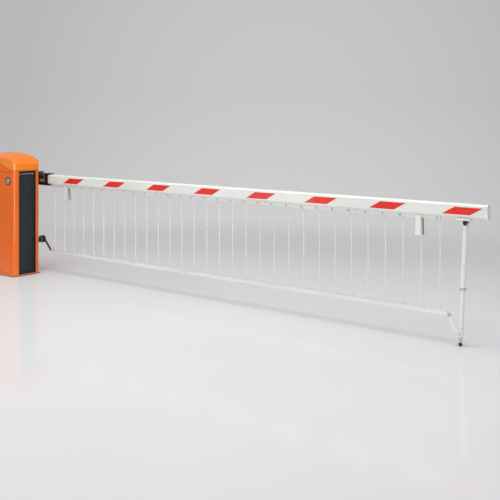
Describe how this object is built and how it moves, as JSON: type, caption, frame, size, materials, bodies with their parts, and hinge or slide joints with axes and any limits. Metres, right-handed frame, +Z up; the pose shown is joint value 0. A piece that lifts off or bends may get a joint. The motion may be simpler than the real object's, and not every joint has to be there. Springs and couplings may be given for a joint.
{
  "type": "parking barrier gate",
  "caption": "Orange barrier housing with a domed hood, a striped white boom, a folding skirt of hanging rods with a lower rail, and a hinged support post under the tip",
  "frame": {"origin": "centre of the housing's base plate, on the ground", "axes": "+X along the closed boom towards its tip, -Y out of the service door, +Z up"},
  "size_m": [4.598, 0.4182, 1.085],
  "materials": {
    "housing_orange": "orange powder coat, satin",
    "hood_orange": "bright orange powder coat, semi gloss",
    "anthracite_panel": "anthracite powder coat, matte",
    "black_steel": "black coated steel, satin",
    "grey_steel": "bare mild steel",
    "zinc_steel": "bright zinc plated steel",
    "lock_metal": "nickel plated lock face",
    "black_plastic": "black moulded plastic",
    "white_aluminium": "white powder coated aluminium",
    "white_plastic": "white moulded plastic",
    "red_film": "red reflective film",
    "black_rubber": "black rubber"
  },
  "bodies": {
    "housing": {"base_frame": "grey_steel", "housing_shell": "housing_orange", "hood": "hood_orange", "lane_panels": "anthracite_panel", "shaft_bearings": "black_steel", "gearmotor": "grey_steel", "control_unit": "black_plastic", "pivot_bracket": "black_steel"},
    "door": {"door": "housing_orange", "lock_rosette": "black_plastic"},
    "lock": {"lock_core": "lock_metal"},
    "crank": {"motor_crank": "zinc_steel"},
    "conrod": {"connecting_rod": "zinc_steel"},
    "boom": {"drive_shaft": "grey_steel", "boom_bracket": "black_steel", "bracket_bolts": "zinc_steel", "boom_profile": "white_aluminium", "boom_end_cap": "white_plastic", "boom_stripes": "red_film", "hanger_strip": "white_aluminium", "rail_catches": "white_aluminium", "post_mount": "white_aluminium"},
    "rail": {"skirt_rail": "white_aluminium", "rail_pivot_arm": "black_steel", "rail_link": "white_aluminium"},
    "sleeve": {"link_sleeve": "white_plastic"},
    "post": {"post_upper_tube": "white_aluminium"},
    "post_foot": {"post_lower_tube": "white_aluminium", "foot_rod": "zinc_steel", "foot_pad": "black_rubber"},
    "hanger_01": {"rod_01": "white_aluminium"},
    "hanger_02": {"rod_02": "white_aluminium"},
    "hanger_03": {"rod_03": "white_aluminium"},
    "hanger_04": {"rod_04": "white_aluminium"},
    "hanger_05": {"rod_05": "white_aluminium"},
    "hanger_06": {"rod_06": "white_aluminium"},
    "hanger_07": {"rod_07": "white_aluminium"},
    "hanger_08": {"rod_08": "white_aluminium"},
    "hanger_09": {"rod_09": "white_aluminium"},
    "hanger_10": {"rod_10": "white_aluminium"},
    "hanger_11": {"rod_11": "white_aluminium"},
    "hanger_12": {"rod_12": "white_aluminium"},
    "hanger_13": {"rod_13": "white_aluminium"},
    "hanger_14": {"rod_14": "white_aluminium"},
    "hanger_15": {"rod_15": "white_aluminium"},
    "hanger_16": {"rod_16": "white_aluminium"},
    "hanger_17": {"rod_17": "white_aluminium"},
    "hanger_18": {"rod_18": "white_aluminium"},
    "hanger_19": {"rod_19": "white_aluminium"},
    "hanger_20": {"rod_20": "white_aluminium"},
    "hanger_21": {"rod_21": "white_aluminium"},
    "hanger_22": {"rod_22": "white_aluminium"},
    "hanger_23": {"rod_23": "white_aluminium"},
    "hanger_24": {"rod_24": "white_aluminium"},
    "hanger_25": {"rod_25": "white_aluminium"},
    "hanger_26": {"rod_26": "white_aluminium"},
    "hanger_27": {"rod_27": "white_aluminium"},
    "hanger_28": {"rod_28": "white_aluminium"},
    "hanger_29": {"rod_29": "white_aluminium"},
    "hanger_30": {"rod_30": "white_aluminium"}
  },
  "joints": [
    {"name": "door_hinge", "type": "hinge", "parent": "housing", "child": "door", "pos_m": [-0.1665, -0.1447, 0.47], "axis": [0, 0, -1], "range_deg": [0, 110]},
    {"name": "lock_turn", "type": "hinge", "parent": "door", "child": "lock", "pos_m": [0.122, -0.14, 0.838], "axis": [0, -1, 0], "range_deg": [0, 90]},
    {"name": "boom_lift", "type": "hinge", "parent": "housing", "child": "boom", "pos_m": [0.08, 0.236, 0.868], "axis": [0, -1, 0], "range_deg": [0, 85]},
    {"name": "crank_turn", "type": "hinge", "parent": "housing", "child": "crank", "pos_m": [-0.05, 0.066, 0.788], "axis": [0, -1, 0], "range_deg": [0, 85]},
    {"name": "conrod_turn", "type": "hinge", "parent": "crank", "child": "conrod", "pos_m": [-0.08, 0.051, 0.73604], "axis": [0, 1, 0], "range_deg": [0, 85]},
    {"name": "rail_swing", "type": "hinge", "parent": "housing", "child": "rail", "pos_m": [0.116, 0.236, 0.288], "axis": [0, -1, 0], "range_deg": [0, 85]},
    {"name": "sleeve_turn", "type": "hinge", "parent": "rail", "child": "sleeve", "pos_m": [4.20507, 0.236, 0.0818], "axis": [0, 1, 0], "range_deg": [0, 71.2]},
    {"name": "post_swing", "type": "hinge", "parent": "boom", "child": "post", "pos_m": [4.238, 0.236, 0.76], "axis": [0, 1, 0], "range_deg": [0, 71.2]},
    {"name": "post_height", "type": "slide", "parent": "post", "child": "post_foot", "axis": [0.0485, 0, 0.9988], "range_m": [0, 0.06]},
    {"name": "hanger_01_turn", "type": "hinge", "parent": "boom", "child": "hanger_01", "pos_m": [0.277, 0.236, 0.779], "axis": [0, 1, 0], "range_deg": [0, 85]},
    {"name": "hanger_02_turn", "type": "hinge", "parent": "boom", "child": "hanger_02", "pos_m": [0.407, 0.236, 0.779], "axis": [0, 1, 0], "range_deg": [0, 85]},
    {"name": "hanger_03_turn", "type": "hinge", "parent": "boom", "child": "hanger_03", "pos_m": [0.537, 0.236, 0.779], "axis": [0, 1, 0], "range_deg": [0, 85]},
    {"name": "hanger_04_turn", "type": "hinge", "parent": "boom", "child": "hanger_04", "pos_m": [0.667, 0.236, 0.779], "axis": [0, 1, 0], "range_deg": [0, 85]},
    {"name": "hanger_05_turn", "type": "hinge", "parent": "boom", "child": "hanger_05", "pos_m": [0.797, 0.236, 0.779], "axis": [0, 1, 0], "range_deg": [0, 85]},
    {"name": "hanger_06_turn", "type": "hinge", "parent": "boom", "child": "hanger_06", "pos_m": [0.927, 0.236, 0.779], "axis": [0, 1, 0], "range_deg": [0, 85]},
    {"name": "hanger_07_turn", "type": "hinge", "parent": "boom", "child": "hanger_07", "pos_m": [1.057, 0.236, 0.779], "axis": [0, 1, 0], "range_deg": [0, 85]},
    {"name": "hanger_08_turn", "type": "hinge", "parent": "boom", "child": "hanger_08", "pos_m": [1.187, 0.236, 0.779], "axis": [0, 1, 0], "range_deg": [0, 85]},
    {"name": "hanger_09_turn", "type": "hinge", "parent": "boom", "child": "hanger_09", "pos_m": [1.317, 0.236, 0.779], "axis": [0, 1, 0], "range_deg": [0, 85]},
    {"name": "hanger_10_turn", "type": "hinge", "parent": "boom", "child": "hanger_10", "pos_m": [1.447, 0.236, 0.779], "axis": [0, 1, 0], "range_deg": [0, 85]},
    {"name": "hanger_11_turn", "type": "hinge", "parent": "boom", "child": "hanger_11", "pos_m": [1.577, 0.236, 0.779], "axis": [0, 1, 0], "range_deg": [0, 85]},
    {"name": "hanger_12_turn", "type": "hinge", "parent": "boom", "child": "hanger_12", "pos_m": [1.707, 0.236, 0.779], "axis": [0, 1, 0], "range_deg": [0, 85]},
    {"name": "hanger_13_turn", "type": "hinge", "parent": "boom", "child": "hanger_13", "pos_m": [1.837, 0.236, 0.779], "axis": [0, 1, 0], "range_deg": [0, 85]},
    {"name": "hanger_14_turn", "type": "hinge", "parent": "boom", "child": "hanger_14", "pos_m": [1.967, 0.236, 0.779], "axis": [0, 1, 0], "range_deg": [0, 85]},
    {"name": "hanger_15_turn", "type": "hinge", "parent": "boom", "child": "hanger_15", "pos_m": [2.097, 0.236, 0.779], "axis": [0, 1, 0], "range_deg": [0, 85]},
    {"name": "hanger_16_turn", "type": "hinge", "parent": "boom", "child": "hanger_16", "pos_m": [2.227, 0.236, 0.779], "axis": [0, 1, 0], "range_deg": [0, 85]},
    {"name": "hanger_17_turn", "type": "hinge", "parent": "boom", "child": "hanger_17", "pos_m": [2.357, 0.236, 0.779], "axis": [0, 1, 0], "range_deg": [0, 85]},
    {"name": "hanger_18_turn", "type": "hinge", "parent": "boom", "child": "hanger_18", "pos_m": [2.487, 0.236, 0.779], "axis": [0, 1, 0], "range_deg": [0, 85]},
    {"name": "hanger_19_turn", "type": "hinge", "parent": "boom", "child": "hanger_19", "pos_m": [2.617, 0.236, 0.779], "axis": [0, 1, 0], "range_deg": [0, 85]},
    {"name": "hanger_20_turn", "type": "hinge", "parent": "boom", "child": "hanger_20", "pos_m": [2.747, 0.236, 0.779], "axis": [0, 1, 0], "range_deg": [0, 85]},
    {"name": "hanger_21_turn", "type": "hinge", "parent": "boom", "child": "hanger_21", "pos_m": [2.877, 0.236, 0.779], "axis": [0, 1, 0], "range_deg": [0, 85]},
    {"name": "hanger_22_turn", "type": "hinge", "parent": "boom", "child": "hanger_22", "pos_m": [3.007, 0.236, 0.779], "axis": [0, 1, 0], "range_deg": [0, 85]},
    {"name": "hanger_23_turn", "type": "hinge", "parent": "boom", "child": "hanger_23", "pos_m": [3.137, 0.236, 0.779], "axis": [0, 1, 0], "range_deg": [0, 85]},
    {"name": "hanger_24_turn", "type": "hinge", "parent": "boom", "child": "hanger_24", "pos_m": [3.267, 0.236, 0.779], "axis": [0, 1, 0], "range_deg": [0, 85]},
    {"name": "hanger_25_turn", "type": "hinge", "parent": "boom", "child": "hanger_25", "pos_m": [3.397, 0.236, 0.779], "axis": [0, 1, 0], "range_deg": [0, 85]},
    {"name": "hanger_26_turn", "type": "hinge", "parent": "boom", "child": "hanger_26", "pos_m": [3.527, 0.236, 0.779], "axis": [0, 1, 0], "range_deg": [0, 85]},
    {"name": "hanger_27_turn", "type": "hinge", "parent": "boom", "child": "hanger_27", "pos_m": [3.657, 0.236, 0.779], "axis": [0, 1, 0], "range_deg": [0, 85]},
    {"name": "hanger_28_turn", "type": "hinge", "parent": "boom", "child": "hanger_28", "pos_m": [3.787, 0.236, 0.779], "axis": [0, 1, 0], "range_deg": [0, 85]},
    {"name": "hanger_29_turn", "type": "hinge", "parent": "boom", "child": "hanger_29", "pos_m": [3.917, 0.236, 0.779], "axis": [0, 1, 0], "range_deg": [0, 85]},
    {"name": "hanger_30_turn", "type": "hinge", "parent": "boom", "child": "hanger_30", "pos_m": [4.047, 0.236, 0.779], "axis": [0, 1, 0], "range_deg": [0, 85]}
  ],
  "couplings": [
    {"joint": "crank_turn", "follows": "boom_lift", "ratio": 1},
    {"joint": "conrod_turn", "follows": "boom_lift", "ratio": 1},
    {"joint": "rail_swing", "follows": "boom_lift", "ratio": 1},
    {"joint": "sleeve_turn", "follows": "boom_lift", "ratio": 0.8363},
    {"joint": "post_swing", "follows": "boom_lift", "ratio": 0.8363},
    {"joint": "hanger_01_turn", "follows": "boom_lift", "ratio": 1},
    {"joint": "hanger_02_turn", "follows": "boom_lift", "ratio": 1},
    {"joint": "hanger_03_turn", "follows": "boom_lift", "ratio": 1},
    {"joint": "hanger_04_turn", "follows": "boom_lift", "ratio": 1},
    {"joint": "hanger_05_turn", "follows": "boom_lift", "ratio": 1},
    {"joint": "hanger_06_turn", "follows": "boom_lift", "ratio": 1},
    {"joint": "hanger_07_turn", "follows": "boom_lift", "ratio": 1},
    {"joint": "hanger_08_turn", "follows": "boom_lift", "ratio": 1},
    {"joint": "hanger_09_turn", "follows": "boom_lift", "ratio": 1},
    {"joint": "hanger_10_turn", "follows": "boom_lift", "ratio": 1},
    {"joint": "hanger_11_turn", "follows": "boom_lift", "ratio": 1},
    {"joint": "hanger_12_turn", "follows": "boom_lift", "ratio": 1},
    {"joint": "hanger_13_turn", "follows": "boom_lift", "ratio": 1},
    {"joint": "hanger_14_turn", "follows": "boom_lift", "ratio": 1},
    {"joint": "hanger_15_turn", "follows": "boom_lift", "ratio": 1},
    {"joint": "hanger_16_turn", "follows": "boom_lift", "ratio": 1},
    {"joint": "hanger_17_turn", "follows": "boom_lift", "ratio": 1},
    {"joint": "hanger_18_turn", "follows": "boom_lift", "ratio": 1},
    {"joint": "hanger_19_turn", "follows": "boom_lift", "ratio": 1},
    {"joint": "hanger_20_turn", "follows": "boom_lift", "ratio": 1},
    {"joint": "hanger_21_turn", "follows": "boom_lift", "ratio": 1},
    {"joint": "hanger_22_turn", "follows": "boom_lift", "ratio": 1},
    {"joint": "hanger_23_turn", "follows": "boom_lift", "ratio": 1},
    {"joint": "hanger_24_turn", "follows": "boom_lift", "ratio": 1},
    {"joint": "hanger_25_turn", "follows": "boom_lift", "ratio": 1},
    {"joint": "hanger_26_turn", "follows": "boom_lift", "ratio": 1},
    {"joint": "hanger_27_turn", "follows": "boom_lift", "ratio": 1},
    {"joint": "hanger_28_turn", "follows": "boom_lift", "ratio": 1},
    {"joint": "hanger_29_turn", "follows": "boom_lift", "ratio": 1},
    {"joint": "hanger_30_turn", "follows": "boom_lift", "ratio": 1}
  ]
}
